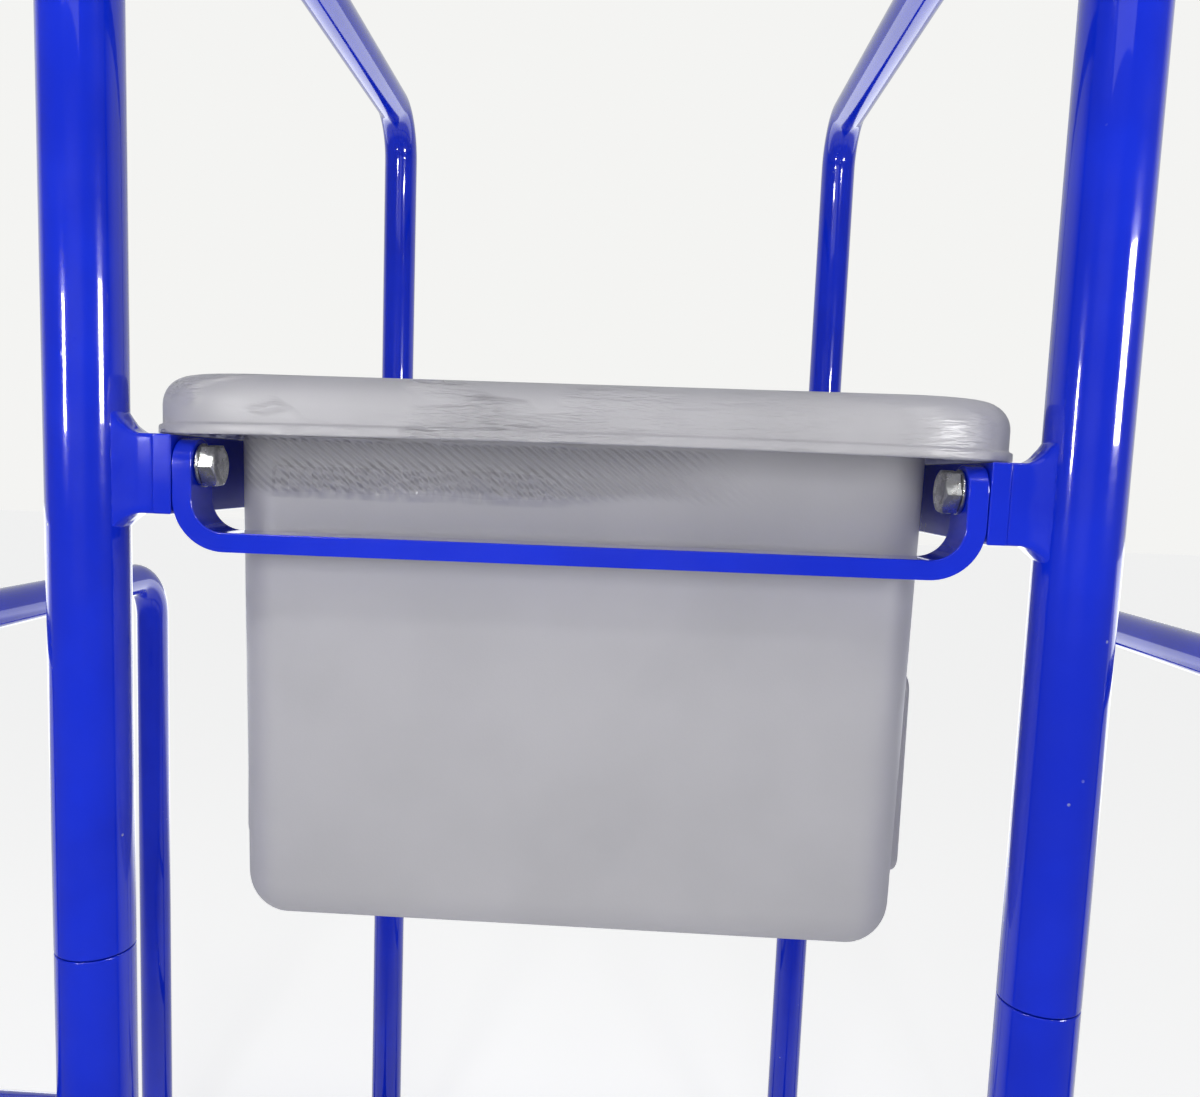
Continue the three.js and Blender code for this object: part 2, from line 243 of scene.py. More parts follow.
def makePaint(values):
    material, graph = newMaterial("blue_paint")
    place = graph.place()
    colour = mottled(graph, place, 14, values["deep"], values["bright"])
    cells = graph.cells(place, values["nibSize"])
    patches = graph.grain(place, 23, 2)
    nibs = graph.step(cells, 0.16, 0.04) * graph.step(patches, 0.58, 0.66)
    # pale specks: partly real chips in the paint, partly painted glints where the gloss would catch the lamps
    chipsAndGlints = graph.step(graph.cells(place, values["chipAndGlintSize"]), 0.15, 0.10)
    chipsAndGlints = chipsAndGlints * graph.step(graph.grain(place, 31, 2), 0.69, 0.72)
    colour = graph.mix(chipsAndGlints, colour, values["chipAndGlint"])
    runs = graph.grain(graph.stretch(place, (1, 1, 0.12)), 55, 2)
    peel = graph.grain(place, values["peelSize"], 1)
    normal = graph.bump(runs, 0.6, values["runDepth"])
    normal = graph.bump(peel, 0.8, values["peelDepth"], normal)
    normal = graph.bump(nibs - chipsAndGlints, 0.7, values["nibDepth"], normal)
    base = values["roughness"]
    rough = graph.step(graph.grain(place, 40, 3), 0.3, 0.7, base - 0.03, base + 0.05)
    graph.finish({
        "Base Color": colour,
        "Roughness": rough + 0.3 * chipsAndGlints,
        "Normal": normal,
        "Specular IOR Level": 0.15,
        "Coat Weight": 1.0,
        "Coat Roughness": 0.035,
        "Coat IOR": 1.5,
    })
    return material


# The bin's sizes, which its plastic and its shape share
binSet = {
    "wall": 0.0035,
    "taper": 0.0035,
    "cornerRadius": 0.026,
    "bottomRadius": 0.025,
    "rimHeight": 0.029,
    "rimOverhang": 0.038,
    "rimRound": 0.014,
    "rimInnerRound": 0.005,
    "lip": 0.002,
    "lipHeight": 0.005,
    "cornerSegments": 12,
    "sideCuts": 15,
    "bow": 0.0012,
    "sway": 0.0008,
}


# Grey moulded plastic: satin, with hatched tool marks under the rim, a line of
# wet-looking scales below them, and grainy drag marks along the rim
greyPlastic = {
    "deep": (0.365, 0.360, 0.382, 1),
    "bright": (0.390, 0.384, 0.408, 1),
    "stain": (0.30, 0.30, 0.325, 1),
    "hatchSize": 95,
    "hatchDepth": 0.0011,
    "scaleDepth": 0.0025,
    "dragDepth": 0.0065,
    "roughness": 0.42,
}


def makePlastic(values):
    material, graph = newMaterial("grey_plastic")
    place = graph.place()
    x, y, z = graph.axes(place)
    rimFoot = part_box("bin")[1][2] - binSet["rimHeight"]
    front = graph.step(y, frontY + 0.045, frontY + 0.030)
    belowRim = graph.step(z, rimFoot + 0.001, rimFoot - 0.001)
    rim = 1 - belowRim

    hatchPlace = graph.stretch(place, (1, 1, 1), (0, math.radians(-38), 0))
    hatch = graph.add("ShaderNodeTexWave", {"bands_direction": "Z"}, {
        "Vector": hatchPlace, "Scale": values["hatchSize"], "Distortion": 1.2,
        "Detail": 1, "Detail Scale": 40,
    }, "Fac")
    hatchEdge = z + 0.006 * graph.grain(place, 20, 2)
    hatchMask = front * belowRim * graph.step(hatchEdge, rimFoot - 0.024, rimFoot - 0.018)
    hatchMask = hatchMask * graph.step(x, 0.10, 0.02)

    band = graph.step(z + 0.007 * graph.grain(place, 14, 1), rimFoot - 0.026, rimFoot - 0.020)
    band = band * graph.step(z, rimFoot - 0.009, rimFoot - 0.016)
    band = band * graph.step(x, 0.03, -0.03) * graph.step(x, -0.157, -0.148) * front
    scales = graph.cells(graph.stretch(place, (1, 0.3, 0.42), (0, 0.35, 0)), 210)
    drag = graph.grain(graph.stretch(place, (0.16, 0.16, 1.0)), 260, 3, 0.6)
    dragMask = rim * graph.step(graph.grain(graph.stretch(place, (0.5, 0.5, 1)), 38, 2), 0.42, 0.60)
    dragMask = dragMask * graph.step(x, 0.08, -0.10, 0.25, 1.0)

    fine = graph.grain(place, 900, 2)
    soft = graph.grain(place, 22, 2)
    normal = graph.bump(soft, 0.3, 0.0012)
    normal = graph.bump(fine, 0.25, 0.00015, normal)
    normal = graph.bump(hatch * hatchMask, 0.8, values["hatchDepth"], normal)
    normal = graph.bump(scales * band, 1.0, values["scaleDepth"], normal)
    normal = graph.bump(drag * dragMask, 1.0, values["dragDepth"], normal)

    colour = mottled(graph, place, 11, values["deep"], values["bright"])
    stains = graph.step(graph.grain(place, 16, 4), 0.62, 0.74) * 0.15
    colour = graph.mix(stains, colour, values["stain"])
    base = values["roughness"]
    rough = graph.step(graph.grain(place, 30, 3), 0.3, 0.7, base, base + 0.08)
    graph.finish({
        "Base Color": colour,
        "Roughness": rough - 0.26 * band - 0.2 * dragMask,
        "Normal": normal,
    })
    return material


# Bright zinc plate: slightly streaked, with a few dull patches
zincSteel = {
    "dull": (0.42, 0.43, 0.43, 1),
    "bright": (0.74, 0.74, 0.72, 1),
    "roughness": 0.22,
}


def makeZinc(values):
    material, graph = newMaterial("zinc_steel")
    place = graph.place()
    patches = graph.grain(place, 190, 4, 0.65)
    colour = graph.mix(graph.step(patches, 0.38, 0.62), values["dull"], values["bright"])
    scratches = graph.grain(graph.stretch(place, (0.2, 1, 1)), 1500, 2)
    normal = graph.bump(scratches, 0.35, 0.00008)
    normal = graph.bump(patches, 0.4, 0.0002, normal)
    graph.finish({
        "Base Color": colour,
        "Metallic": 1.0,
        "Roughness": graph.step(patches, 0.3, 0.7, values["roughness"] + 0.14, values["roughness"]),
        "Normal": normal,
    })
    return material


# Black rubber: matt, scuffed grey low down
blackRubber = {
    "dark": (0.012, 0.012, 0.013, 1),
    "worn": (0.045, 0.044, 0.042, 1),
    "roughness": 0.62,
}


def makeRubber(values):
    material, graph = newMaterial("black_rubber")
    place = graph.place()
    x, y, z = graph.axes(place)
    low = graph.step(z, 0.014, 0.0, 0.2, 1.0)
    scuffs = graph.step(graph.grain(place, 120, 4, 0.6), 0.45, 0.7) * low
    normal = graph.bump(graph.grain(place, 1400, 2), 0.4, 0.00012)
    graph.finish({
        "Base Color": graph.mix(scuffs, values["dark"], values["worn"]),
        "Roughness": values["roughness"] + 0.2 * scuffs,
        "Normal": normal,
    })
    return material


finishes = {
    "blue_paint": makePaint(bluePaint),
    "grey_plastic": makePlastic(greyPlastic),
    "zinc_steel": makeZinc(zincSteel),
    "black_rubber": makeRubber(blackRubber),
}
print("finishes made")


# Making pieces

def vertsOf(geom):
    return [item for item in geom if isinstance(item, bmesh.types.BMVert)]


def edgesOf(geom):
    return [item for item in geom if isinstance(item, bmesh.types.BMEdge)]


def addPiece(name, bm, body, slot, nodes=()):
    bmesh.ops.recalc_face_normals(bm, faces=bm.faces)
    mesh = bpy.data.meshes.new(name)
    bm.to_mesh(mesh)
    bm.free()
    mesh.polygons.foreach_set("use_smooth", [True] * len(mesh.polygons))
    mesh.materials.append(finishes[slot])
    piece = bpy.data.objects.new(name, mesh)
    scene.collection.objects.link(piece)
    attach(piece, body)
    if nodes:
        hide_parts(*nodes)
    return piece


def addBevel(piece, width, segments=3, angle=40):
    bevel = piece.modifiers.new("edges", "BEVEL")
    bevel.width = width
    bevel.segments = segments
    bevel.limit_method = "ANGLE"
    bevel.angle_limit = math.radians(angle)
    bevel.harden_normals = True


def addWall(piece, thickness, offset):
    wall = piece.modifiers.new("wall", "SOLIDIFY")
    wall.thickness = thickness
    wall.offset = offset
    wall.use_even_offset = True


# A run of edges that is drawn ahead and round bends
class Sweep:
    def __init__(self, bm, edges, place, heading):
        self.bm = bm
        self.edges = edges
        self.place = Vector(place)
        self.heading = Vector(heading).normalized()

    def ahead(self, length):
        out = bmesh.ops.extrude_edge_only(self.bm, edges=self.edges)
        bmesh.ops.translate(self.bm, verts=vertsOf(out["geom"]), vec=self.heading * length)
        self.edges = edgesOf(out["geom"])
        self.place = self.place + self.heading * length

    def turn(self, heading, radius, steps=16):
        heading = Vector(heading).normalized()
        axis = self.heading.cross(heading).normalized()
        angle = self.heading.angle(heading)
        centre = self.place + radius * axis.cross(self.heading)
        verts = list({vert for edge in self.edges for vert in edge.verts})
        out = bmesh.ops.spin(
            self.bm, geom=verts + self.edges, cent=centre, axis=axis,
            angle=angle, steps=steps, use_duplicate=False,
        )
        self.edges = edgesOf(out["geom_last"])
        self.place = centre + Matrix.Rotation(angle, 3, axis) @ (self.place - centre)
        self.heading = heading


def ringAt(bm, place, heading, radius, segments):
    out = bmesh.ops.create_circle(bm, segments=segments, radius=radius)
    turn = up.rotation_difference(Vector(heading)).to_matrix()
    bmesh.ops.rotate(bm, verts=out["verts"], matrix=turn)
    bmesh.ops.translate(bm, verts=out["verts"], vec=place)
    return list({edge for vert in out["verts"] for edge in vert.link_edges})


# Tubes

tubeSet = {
    "wall": 0.002,
    "edgeRound": 0.0007,
    "bendRadius": 0.046,
    "segments": 56,
    "collar": 0.003,
    "railBite": 0.42,
    "braceBite": 0.45,
}


# Moves are lengths ahead and new headings. A collar near each end holds the edge's rounding.
def addTube(name, start, heading, moves, radius, body):
    bm = bmesh.new()
    edges = ringAt(bm, start, heading, radius, tubeSet["segments"])
    sweep = Sweep(bm, edges, start, heading)
    for move in moves:
        if isinstance(move, Vector):
            sweep.turn(move, tubeSet["bendRadius"])
        else:
            sweep.ahead(tubeSet["collar"])
            sweep.ahead(move - 2 * tubeSet["collar"])
            sweep.ahead(tubeSet["collar"])
    tube = addPiece(name + "_tube", bm, body, "blue_paint", [name])
    addWall(tube, tubeSet["wall"], -1)
    addBevel(tube, tubeSet["edgeRound"])


def addPosts():
    bend = tubeSet["bendRadius"]
    for side, sign in sides.items():
        name = "upright_" + side
        low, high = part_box(name)
        start = (sign * postX, frontY, low[2])
        addTube(name, start, up, [high[2] - low[2]], uprightRadius, "upper_section")
        for end, y, radius in (("front", frontY, uprightRadius), ("rear", rearY, railRadius)):
            name = "lower_post_" + end + "_" + side
            low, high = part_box(name)
            addTube(name, (sign * postX, y, low[2]), up, [high[2] - low[2]], radius, "base")
        name = "top_rail_" + side
        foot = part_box(name)[0][2]
        start = Vector((sign * postX, frontY + uprightRadius * tubeSet["railBite"], topRailHeight))
        moves = [rearY - start.y - bend, -up, topRailHeight - bend - foot]
        addTube(name, start, back, moves, railRadius, "upper_section")
        name = "side_hoop_" + side
        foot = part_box(name)[0][2]
        rise = hoopRailHeight - bend - foot
        moves = [rise, back, rearY - frontY - 2 * bend, -up, rise]
        addTube(name, (sign * hoopX, frontY, foot), up, moves, railRadius, "base")


def addBraces():
    bite = tubeSet["braceBite"]
    for end, y, inner in (("front", frontY, uprightRadius), ("rear", rearY, railRadius)):
        for side, sign in sides.items():
            name = end + "_brace_" + side
            z = middle(name).z
            outward = sign * right
            first = postX + bite * inner
            last = hoopX - bite * railRadius
            addTube(name, (sign * first, y, z), outward, [last - first], braceRadius, "base")
            addWelds(name, (sign * postX, y, z), outward, inner, braceRadius, "base")
            addWelds(name + "_outer", (sign * hoopX, y, z), -outward, railRadius, braceRadius, "base")
        name = "base_rail_" + end
        z = middle(name).z
        first = postX - bite * inner
        addTube(name, (-first, y, z), right, [2 * first], braceRadius, "base")
        for side, sign in sides.items():
            addWelds(name + "_" + side, (sign * postX, y, z), -sign * right, inner, braceRadius, "base")
    for side, sign in sides.items():
        name = "base_rail_" + side
        z = middle(name).z
        first = frontY + bite * uprightRadius
        last = rearY - bite * railRadius
        addTube(name, (sign * postX, first, z), back, [last - first], braceRadius, "base")
        addWelds(name + "_front", (sign * postX, frontY, z), back, uprightRadius, braceRadius, "base")
        addWelds(name + "_rear", (sign * postX, rearY, z), -back, railRadius, braceRadius, "base")


# Weld beads: a rippled ring laid in the corner between a branch tube and its post
weldSet = {
    "radius": 0.0030,
    "sections": 8,
    "steps": 96,
    "ripples": 34,
    "rippleDepth": 0.16,
    "lump": 0.25,
    "lumpScale": 160,
    "lift": 0.0006,
}


def addWelds(name, post, heading, postRadius, branchRadius, body):
    bm = bmesh.new()
    section = bmesh.ops.create_circle(bm, segments=weldSet["sections"], radius=weldSet["radius"])
    bmesh.ops.translate(bm, verts=section["verts"], vec=(branchRadius, 0, 0))
    bmesh.ops.rotate(bm, verts=section["verts"], matrix=Matrix.Rotation(math.pi / 2, 3, "X"))
    bmesh.ops.spin(
        bm, geom=bm.verts[:] + bm.edges[:], cent=(0, 0, 0), axis=(0, 0, 1),
        angle=2 * math.pi, steps=weldSet["steps"], use_merge=True, use_duplicate=False,
    )
    # the ring's axis is Z here, and the post runs along Y
    for vert in bm.verts:
        around = math.atan2(vert.co.y, vert.co.x)
        line = Vector((branchRadius * math.cos(around), branchRadius * math.sin(around), 0))
        ripple = (around * weldSet["ripples"] / (2 * math.pi)) % 1
        lump = weldSet["lump"] * noise.noise(line * weldSet["lumpScale"])
        swell = 1 + weldSet["rippleDepth"] * (1 - 2 * ripple) + lump
        vert.co = line + (vert.co - line) * swell
        vert.co.z += math.sqrt(max(postRadius ** 2 - line.x ** 2, 0)) + weldSet["lift"]
    heading = Vector(heading)
    across = up.cross(heading).normalized()
    turn = Matrix((across, up, heading)).transposed()
    bmesh.ops.rotate(bm, verts=bm.verts, matrix=turn)
    bmesh.ops.translate(bm, verts=bm.verts, vec=post)
    addPiece(name + "_weld", bm, body, "blue_paint")


addPosts()
addBraces()
for side, sign in sides.items():
    post = (sign * postX, frontY, topRailHeight)
    addWelds("top_rail_" + side, post, back, uprightRadius, railRadius, "upper_section")
print("tubes and welds made")


# Turned pieces: an outline of radius and height, spun about Z

def addTurned(name, outline, place, body, slot, nodes, axis=up, segments=48):
    bm = bmesh.new()
    verts = [bm.verts.new((radius, 0, height)) for radius, height in outline]
    for first, second in zip(verts, verts[1:]):
        bm.edges.new((first, second))
    bmesh.ops.spin(
        bm, geom=bm.verts[:] + bm.edges[:], cent=(0, 0, 0), axis=(0, 0, 1),
        angle=2 * math.pi, steps=segments, use_merge=True, use_duplicate=False,
    )
    bmesh.ops.remove_doubles(bm, verts=bm.verts, dist=1e-6)
    bmesh.ops.rotate(bm, verts=bm.verts, matrix=up.rotation_difference(axis).to_matrix())
    bmesh.ops.translate(bm, verts=bm.verts, vec=place)
    return addPiece(name, bm, body, slot, nodes)


capSet = {
    "round": 0.0008,
    "steps": 7,
    "flatness": 0.45,
    "clearance": 0.0004,
}
footSet = {
    "ribs": 3,
    "ribDepth": 0.0009,
    "round": 0.0022,
    "floor": 0.006,
}


def addCaps():
    for side, sign in sides.items():
        node = "top_cap_" + side
        low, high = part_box(node)
        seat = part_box("upright_" + side)[1][2] + 0.0002
        radius = uprightRadius
        stem = radius - tubeSet["wall"] - capSet["clearance"]
        brim = seat + capSet["round"]
        outline = [
            (0, low[2]), (stem - 0.001, low[2]), (stem, low[2] + 0.001), (stem, seat),
            (radius - capSet["round"], seat), (radius, brim),
        ]
        for i in range(1, capSet["steps"]):
            angle = i / capSet["steps"] * math.pi / 2
            reach = radius * math.cos(angle) ** capSet["flatness"]
            outline.append((reach, brim + (high[2] - brim) * math.sin(angle)))
        outline.append((0, high[2]))
        addTurned(node + "_plug", outline, (sign * postX, frontY, 0), "upper_section", "blue_paint", [node])


def addFeet():
    for end, x, y, radius in (
        ("front", postX, frontY, uprightRadius), ("rear", postX, rearY, railRadius),
        ("hoop_front", hoopX, frontY, railRadius), ("hoop_rear", hoopX, rearY, railRadius),
    ):
        for side, sign in sides.items():
            node = "foot_" + end + "_" + side
            low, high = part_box(node)
            outer = (high[0] - low[0]) / 2
            groove = outer - footSet["ribDepth"]
            bore = radius + 0.0002
            height = high[2]
            floor = footSet["floor"]
            shoulder = footSet["round"]
            outline = [(0, 0.0006), (outer * 0.62, 0.0006), (outer * 0.66, 0), (outer - shoulder, 0)]
            outline += [(outer - 0.3 * shoulder, 0.3 * shoulder), (outer, shoulder)]
            start = 0.3 * height
            pitch = 0.4 * height / footSet["ribs"]
            for i in range(footSet["ribs"]):
                foot = start + i * pitch
                outline += [(outer, foot), (groove, foot + 0.15 * pitch)]
                outline += [(groove, foot + 0.5 * pitch), (outer, foot + 0.65 * pitch)]
            outline += [(outer, height - 0.0016), (outer - 0.0005, height - 0.0005), (outer - 0.0016, height)]
            outline += [(bore + 0.0006, height), (bore, height - 0.0008), (bore, floor), (0, floor)]
            addTurned(node + "_tip", outline, (sign * x, y, 0), "base", "black_rubber", [node])


addCaps()
addFeet()
print("caps and feet made")


# Flat bars with drilled ends: half is drawn as a sheet and mirrored, then given its thickness

flatBars = {
    "edgeRound": 0.0008,
    "holeSegments": 32,
    "holeRadius": 0.0063,
    "holeBack": 0.016,
    "barThickness": 0.0095,
    "strapThickness": 0.009,
    "barBend": 0.020,
    "strapBend": 0.030,
}


# The sheet round a hole: front, back, top and bottom are its edges' distances from the
# hole. Local X runs along the sheet and local Y up it. A round end has front as its radius.
def drilledEnd(bm, front, behind, top, bottom, rounded, place, turn):
    hole = bmesh.ops.create_circle(bm, segments=flatBars["holeSegments"], radius=flatBars["holeRadius"])
    inner = list({edge for vert in hole["verts"] for edge in vert.link_edges})
    out = bmesh.ops.extrude_edge_only(bm, edges=inner)
    outer = vertsOf(out["geom"])
    far = []
    for vert in outer:
        x, y = vert.co.x, vert.co.y
        widest = max(abs(x), abs(y))
        if rounded and x <= 1e-6:
            scale = front / math.hypot(x, y)
            vert.co = Vector((x * scale, y * scale, 0))
            continue
        reachX = behind if x > 0 else front
        reachY = top if y > 0 else bottom
        vert.co = Vector((x / widest * reachX, y / widest * reachY, 0))
        if abs(x) > widest - 1e-7 and x > 0:
            far.append(vert)
    bmesh.ops.transform(bm, verts=bm.verts, matrix=Matrix.Translation(place) @ turn.to_4x4())
    return [edge for edge in edgesOf(out["geom"]) if all(vert in far for vert in edge.verts)]


def addFlatBar(name, bm, thickness, body, node):
    bmesh.ops.mirror(bm, geom=bm.verts[:] + bm.edges[:] + bm.faces[:], axis="X", merge_dist=1e-5)
    bar = addPiece(name, bm, body, "blue_paint", [node])
    addWall(bar, thickness, 0)
    addBevel(bar, flatBars["edgeRound"], 3, 50)


def addRing():
    low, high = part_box("bin_ring")
    thickness = flatBars["strapThickness"]
    x = high[0] - thickness / 2
    bm = bmesh.new()
    turn = Matrix((back, up, right)).transposed()
    edges = drilledEnd(
        bm, pivot.y - low[1], flatBars["holeBack"], high[2] - pivot.z, pivot.z - low[2], False,
        (-x, pivot.y, pivot.z), turn,
    )
    start = Vector((-x, pivot.y + flatBars["holeBack"], pivot.z))
    sweep = Sweep(bm, edges, start, back)
    bend = flatBars["strapBend"]
    sweep.ahead(high[1] - thickness / 2 - bend - start.y)
    sweep.turn(right, bend)
    sweep.ahead(x - bend)
    addFlatBar("bin_ring_bar", bm, thickness, "upper_section", "bin_ring")


def addRetainer():
    low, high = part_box("retainer_bar")
    thickness = flatBars["barThickness"]
    x = high[0] - thickness / 2
    width = (high[1] - low[1]) / 2
    crossBar = low[2] + thickness / 2
    bend = flatBars["barBend"]
    bm = bmesh.new()
    turn = Matrix((-up, back, right)).transposed()
    straight = pivot.z - crossBar - bend
    behind = straight * 0.85
    edges = drilledEnd(bm, width, behind, width, width, True, (-x, pivot.y, pivot.z), turn)
    sweep = Sweep(bm, edges, (-x, pivot.y, pivot.z - behind), -up)
    sweep.ahead(straight - behind)
    sweep.turn(right, bend)
    sweep.ahead(x - bend)
    addFlatBar("retainer_flat_bar", bm, thickness, "retainer", "retainer_bar")


addRing()
addRetainer()
print("flat bars made")


# Lugs: a block between the ring's end and the upright that flares into a lumpy weld
lugSet = {
    "cuts": 13,
    "flareStart": 0.40,
    "flareUp": 0.011,
    "flareDown": 0.008,
    "flareSide": 0.0035,
    "lump": 0.0007,
    "lumpScale": 230,
    "round": 0.0012,
}


def addLug(side, sign):
    low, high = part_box("ring_lug_" + side)
    inner = min(abs(low[0]), abs(high[0])) - 0.0002
    middleY = (low[1] + high[1]) / 2
    middleZ = (low[2] + high[2]) / 2
    halfY = (high[1] - low[1]) / 2
    halfZ = (high[2] - low[2]) / 2
    bm = bmesh.new()
    bmesh.ops.create_cube(bm, size=2)
    bmesh.ops.bevel(
        bm, geom=[edge for edge in bm.edges if abs(edge.verts[0].co.x - edge.verts[1].co.x) > 1],
        offset=0.1, segments=2, profile=0.5, affect="EDGES", material=-1, clamp_overlap=True,
    )
    bmesh.ops.subdivide_edges(bm, edges=bm.edges, cuts=lugSet["cuts"], use_grid_fill=True)
    for vert in bm.verts:
        along = (vert.co.x + 1) / 2
        flare = max(0, (along - lugSet["flareStart"]) / (1 - lugSet["flareStart"])) ** 1.8
        reachZ = halfZ + flare * (lugSet["flareUp"] if vert.co.z > 0 else lugSet["flareDown"])
        y = middleY + vert.co.y * (halfY + flare * lugSet["flareSide"])
        z = middleZ + vert.co.z * reachZ
        fromAxis = min(abs(y - frontY), uprightRadius * 0.97)
        end = postX - math.sqrt(uprightRadius ** 2 - fromAxis ** 2) + 0.0008
        x = inner + (end - inner) * along
        place = Vector((sign * x, y, z))
        lump = lugSet["lump"] * noise.noise(place * lugSet["lumpScale"]) * min(1, flare * 3)
        vert.co = place + Vector((0, y - middleY, z - middleZ)).normalized() * lump
    addPiece("ring_lug_block_" + side, bm, "upper_section", "blue_paint", ["ring_lug_" + side])


for side, sign in sides.items():
    addLug(side, sign)
print("lugs made")


# Pivot bolts with their washers
boltSet = {
    "flats": 0.019,
    "headHeight": 0.0075,
    "chamferSlope": 0.55,
    "chamferDrop": 0.0004,
    "faceShare": 0.94,
    "sideCuts": 7,
    "shankRadius": 0.006,
    "turn": {"left": 4, "right": -7},
}


def addBolt(side, sign):
    node = "pivot_bolt_" + side
    low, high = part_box(node)
    head = min(abs(low[0]), abs(high[0]))
    tip = max(abs(low[0]), abs(high[0]))
    apothem = boltSet["flats"] / 2
    headHeight = boltSet["headHeight"]
    shankRadius = boltSet["shankRadius"]
    bm = bmesh.new()
    ring = bmesh.ops.create_circle(bm, segments=6, radius=apothem / math.cos(math.pi / 6))
    turn = Matrix.Rotation(math.radians(boltSet["turn"][side]), 3, "Z")
    bmesh.ops.rotate(bm, verts=ring["verts"], matrix=turn)
    bmesh.ops.subdivide_edges(bm, edges=bm.edges[:], cuts=boltSet["sideCuts"])
    base = bm.edges[:]
    # up the flats, to the curved edge that the chamfer leaves
    out = bmesh.ops.extrude_edge_only(bm, edges=base)
    bmesh.ops.translate(bm, verts=vertsOf(out["geom"]), vec=(0, 0, headHeight * 0.5))
    out = bmesh.ops.extrude_edge_only(bm, edges=edgesOf(out["geom"]))
    for vert in vertsOf(out["geom"]):
        reach = math.hypot(vert.co.x, vert.co.y)
        drop = boltSet["chamferDrop"] + boltSet["chamferSlope"] * (reach - apothem)
        vert.co.z = headHeight - drop
    crest = edgesOf(out["geom"])
    for share, height in ((boltSet["faceShare"], 1.0), (0.72, 1.0), (0.62, 0.94), (0.3, 0.93)):
        out = bmesh.ops.extrude_edge_only(bm, edges=crest)
        for vert in vertsOf(out["geom"]):
            reach = math.hypot(vert.co.x, vert.co.y)
            vert.co.x *= share * apothem / reach
            vert.co.y *= share * apothem / reach
            vert.co.z = headHeight * height
        crest = edgesOf(out["geom"])
    bmesh.ops.contextual_create(bm, geom=crest)
    # under the head, and along the shank
    edges = base
    shankEnd = headHeight - (tip - head)
    for radius, height in ((apothem * 0.95, 0), (shankRadius, 0), (shankRadius, shankEnd)):
        out = bmesh.ops.extrude_edge_only(bm, edges=edges)
        for vert in vertsOf(out["geom"]):
            reach = math.hypot(vert.co.x, vert.co.y)
            vert.co.x *= radius / reach
            vert.co.y *= radius / reach
            vert.co.z = height
        edges = edgesOf(out["geom"])
    bmesh.ops.contextual_create(bm, geom=edges)
    turn = up.rotation_difference(Vector((-sign, 0, 0))).to_matrix()
    bmesh.ops.rotate(bm, verts=bm.verts, matrix=turn)
    bmesh.ops.translate(bm, verts=bm.verts, vec=(sign * (head + headHeight), pivot.y, pivot.z))
    bolt = addPiece(node + "_hex", bm, "upper_section", "zinc_steel", [node])
    addBevel(bolt, 0.0003, 2, 28)

    node = "pivot_washer_" + side
    low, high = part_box(node)
    outer = (high[1] - low[1]) / 2
    half = (high[0] - low[0]) / 2
    bore = shankRadius + 0.0003
    edge = 0.0004
    outline = [
        (bore, -half), (outer - edge, -half), (outer, -half + edge), (outer, half - edge),
        (outer - edge, half), (bore, half), (bore, -half),
    ]
    place = ((low[0] + high[0]) / 2, pivot.y, pivot.z)
    addTurned(node + "_ring", outline, place, "upper_section", "zinc_steel", [node], right)


for side, sign in sides.items():
    addBolt(side, sign)
print("bolts made")


# The bin: a rounded floor face drawn up the inside, over the rim and down the outside
def binProfile(height):
    wall = binSet["wall"]
    taper = binSet["taper"]
    bottom = binSet["bottomRadius"]
    over = binSet["rimOverhang"]
    rounding = binSet["rimRound"]
    edge = over + binSet["lip"]
    foot = height - binSet["rimHeight"]
    lipTop = foot + binSet["lipHeight"]
    ceiling = height - wall
    innerRound = binSet["rimInnerRound"]
    least = 0.0008 - binSet["cornerRadius"]
    profile = []

    def arc(outset, level, radius, start, end, steps):
        for i in range(steps + 1):
            angle = math.radians(start + (end - start) * i / steps)
            reach = outset + radius * math.cos(angle)
            if reach > least:
                profile.append((reach, level + radius * math.sin(angle)))

    arc(-taper - bottom, bottom, bottom - wall, -90, 0, 8)
    for share in (0.3, 0.6, 0.85):
        profile.append((-taper - wall + taper * share, bottom + (height - innerRound - bottom) * share))
    arc(innerRound - wall, height - innerRound, innerRound, 180, 90, 6)
    profile.append((over * 0.35, height))
    arc(over - rounding, height - rounding, rounding, 90, 0, 10)
    profile += [
        (over, lipTop + 0.0008), (over + 0.0003, lipTop + 0.0002),
        (edge - 0.0006, lipTop - 0.0002), (edge - 0.0001, lipTop - 0.0008),
        (edge, foot + 0.0010), (edge - 0.0004, foot + 0.0002), (edge - 0.0010, foot),
        (over - wall + 0.0004, foot), (over - wall, foot + 0.0006), (over - wall, height - rounding),
    ]
    arc(over - rounding, height - rounding, rounding - wall, 0, 90, 6)
    profile.append((innerRound + 0.002, ceiling))
    arc(innerRound, ceiling - innerRound, innerRound, 90, 180, 6)
    for share in (0.85, 0.6, 0.3):
        profile.append((-taper + taper * share, bottom + (ceiling - innerRound - bottom) * share))
    arc(-taper - bottom, bottom, bottom, 0, -90, 12)
    profile.append((least, 0))
    return profile


# A rounded rectangle's edge, and the way out from it at each of its vertices
def roundedLoop(bm, straightX, straightY, corner):
    bmesh.ops.create_grid(bm, x_segments=1, y_segments=1, size=1)
    bmesh.ops.scale(bm, verts=bm.verts, vec=(straightX + corner, straightY + corner, 1))
    bmesh.ops.bevel(
        bm, geom=bm.verts[:], offset=corner, segments=binSet["cornerSegments"],
        profile=0.5, affect="VERTICES", material=-1,
    )
    longEdges = [edge for edge in bm.edges if edge.calc_length() > corner]
    bmesh.ops.subdivide_edges(bm, edges=longEdges, cuts=binSet["sideCuts"])
    return [edge for edge in bm.edges if edge.is_boundary]


def moveOut(verts, straightX, straightY, corner, outset, level):
    for vert in verts:
        x = min(max(vert.co.x, -straightX), straightX)
        y = min(max(vert.co.y, -straightY), straightY)
        away = Vector((vert.co.x - x, vert.co.y - y, 0)).normalized()
        vert.co = Vector((x, y, level)) + away * (corner + outset)


